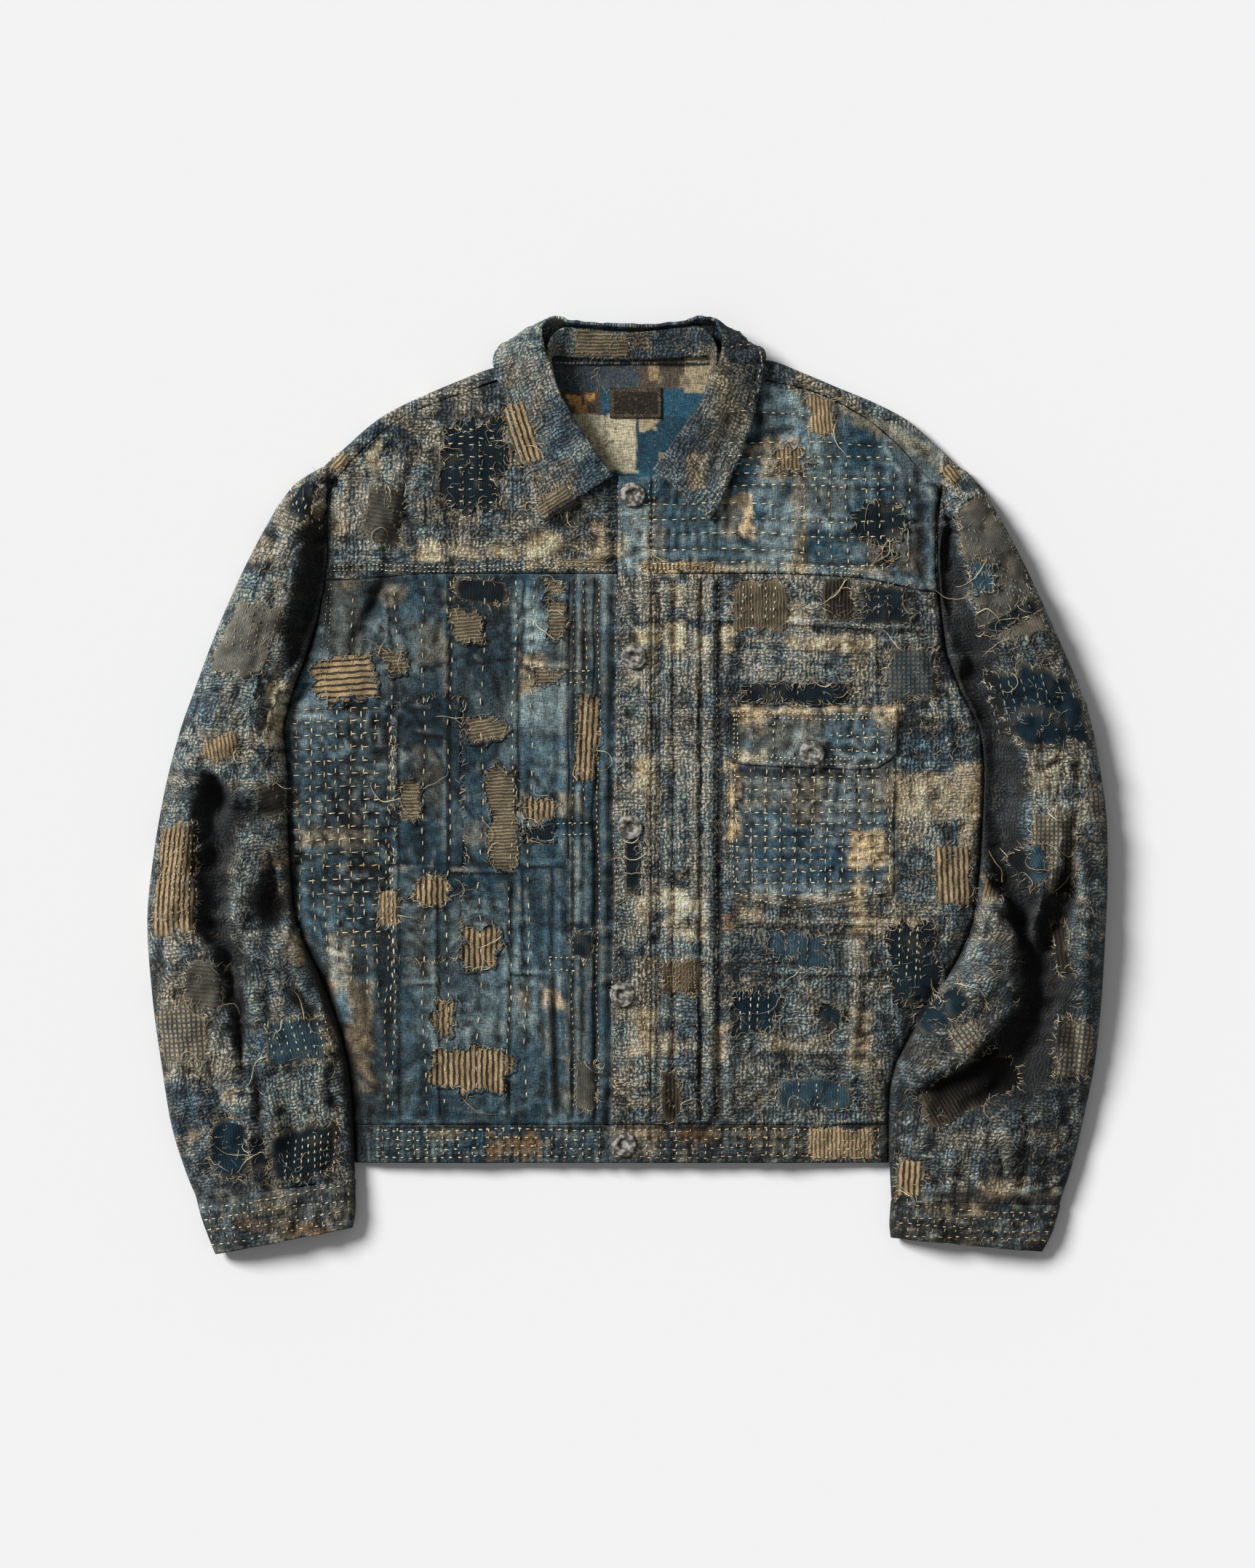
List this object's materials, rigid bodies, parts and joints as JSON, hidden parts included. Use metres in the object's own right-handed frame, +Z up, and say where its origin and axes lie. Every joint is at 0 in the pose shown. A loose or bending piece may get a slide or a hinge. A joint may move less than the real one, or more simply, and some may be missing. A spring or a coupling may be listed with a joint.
{
  "type": "patched boro jacket",
  "caption": "Button-front work jacket of layered indigo patchwork, sashiko-stitched and worn, laid flat with its front up and its collar open.",
  "frame": {"origin": "on the flat underside of the back panel, under the middle of the jacket, on the surface that it lies on", "axes": "+X towards the wearer's left sleeve, +Y from the hem to the collar, +Z up from the surface through the front"},
  "size_m": [0.7577, 0.739, 0.0418],
  "materials": {
    "plaid_cloth": "matt, nubby indigo and ecru plaid, brushed and darned",
    "faded_cloth": "matt, faded indigo twill with vertical running stitch",
    "indigo_cloth": "matt, mid indigo plain weave",
    "dark_cloth": "matt, dark indigo with pale running stitch",
    "cord_cloth": "matt, tan and brown fine cord and ticking stripe",
    "grey_cloth": "matt, grey-brown worn check",
    "lining_cloth": "matt, pieced lining in slate, tan and blue",
    "label_cloth": "matt, plain woven label with a stitched edge and no words",
    "button_metal": "satin, worn antique ring head"
  },
  "bodies": {
    "root": {"back_panel": "plaid_cloth", "back_yoke": "plaid_cloth", "button_1": "button_metal", "button_2": "button_metal", "button_3": "button_metal", "button_4": "button_metal", "button_5": "button_metal", "button_pocket": "button_metal", "collar_fall": "plaid_cloth", "collar_stand": "plaid_cloth", "cuff_left": "faded_cloth", "cuff_right": "faded_cloth", "front_left": "plaid_cloth", "front_right": "faded_cloth", "front_yoke_left": "indigo_cloth", "front_yoke_right": "plaid_cloth", "label": "label_cloth", "neck_lining": "lining_cloth", "patch_front_left_check": "grey_cloth", "patch_front_left_indigo": "indigo_cloth", "patch_front_left_navy": "dark_cloth", "patch_front_left_window": "dark_cloth", "patch_front_right_cord": "cord_cloth", "patch_front_right_grid": "dark_cloth", "patch_front_right_stripe": "cord_cloth", "patch_sleeve_left_check": "grey_cloth", "patch_sleeve_left_grey": "grey_cloth", "patch_sleeve_left_indigo": "indigo_cloth", "patch_sleeve_right_grey": "grey_cloth", "patch_sleeve_right_indigo": "dark_cloth", "patch_sleeve_right_lower": "indigo_cloth", "patch_sleeve_right_stripe": "cord_cloth", "patch_yoke_left_cord": "cord_cloth", "patch_yoke_left_inlay": "dark_cloth", "patch_yoke_right_indigo": "dark_cloth", "placket": "plaid_cloth", "pleat_left": "plaid_cloth", "pleat_right": "faded_cloth", "pocket": "faded_cloth", "pocket_flap": "grey_cloth", "sleeve_under_left": "plaid_cloth", "sleeve_under_right": "plaid_cloth", "sleeve_upper_left": "plaid_cloth", "sleeve_upper_right": "plaid_cloth", "waistband_back": "faded_cloth", "waistband_left": "plaid_cloth", "waistband_right": "faded_cloth"}
  },
  "joints": []
}
